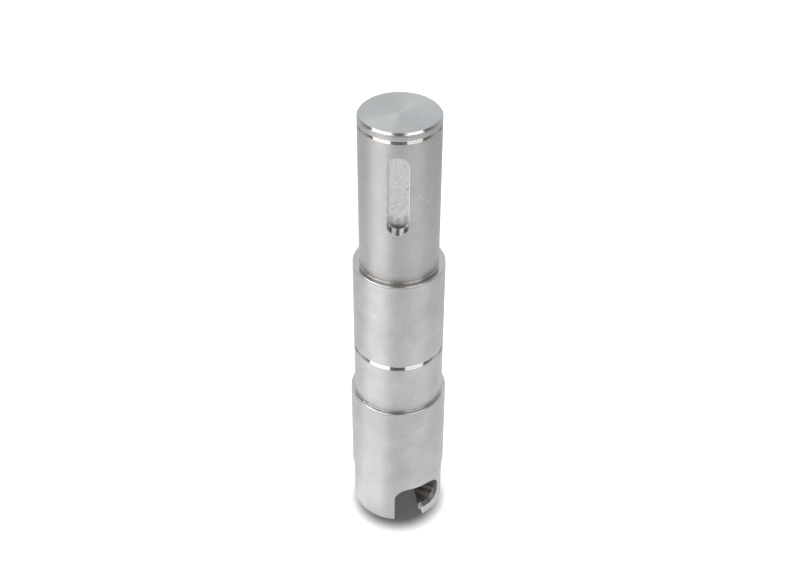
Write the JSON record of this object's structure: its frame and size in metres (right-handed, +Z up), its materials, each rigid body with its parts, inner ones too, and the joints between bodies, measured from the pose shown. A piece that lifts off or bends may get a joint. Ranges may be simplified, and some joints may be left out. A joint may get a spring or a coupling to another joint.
{
  "type": "stepped drive shaft",
  "caption": "Stepped steel drive shaft with a keyway, ring grooves, a bearing seat and a bayonet socket end.",
  "frame": {"origin": "centre of the slotted end face, which the shaft stands on", "axes": "+Z up the shaft's axis to the keyed end; the entry slots open towards -Y and +Y"},
  "size_m": [0.038, 0.038, 0.186],
  "materials": {
    "steel": "fine turned, satin"
  },
  "bodies": {
    "root": {"shaft": "steel"}
  },
  "joints": []
}
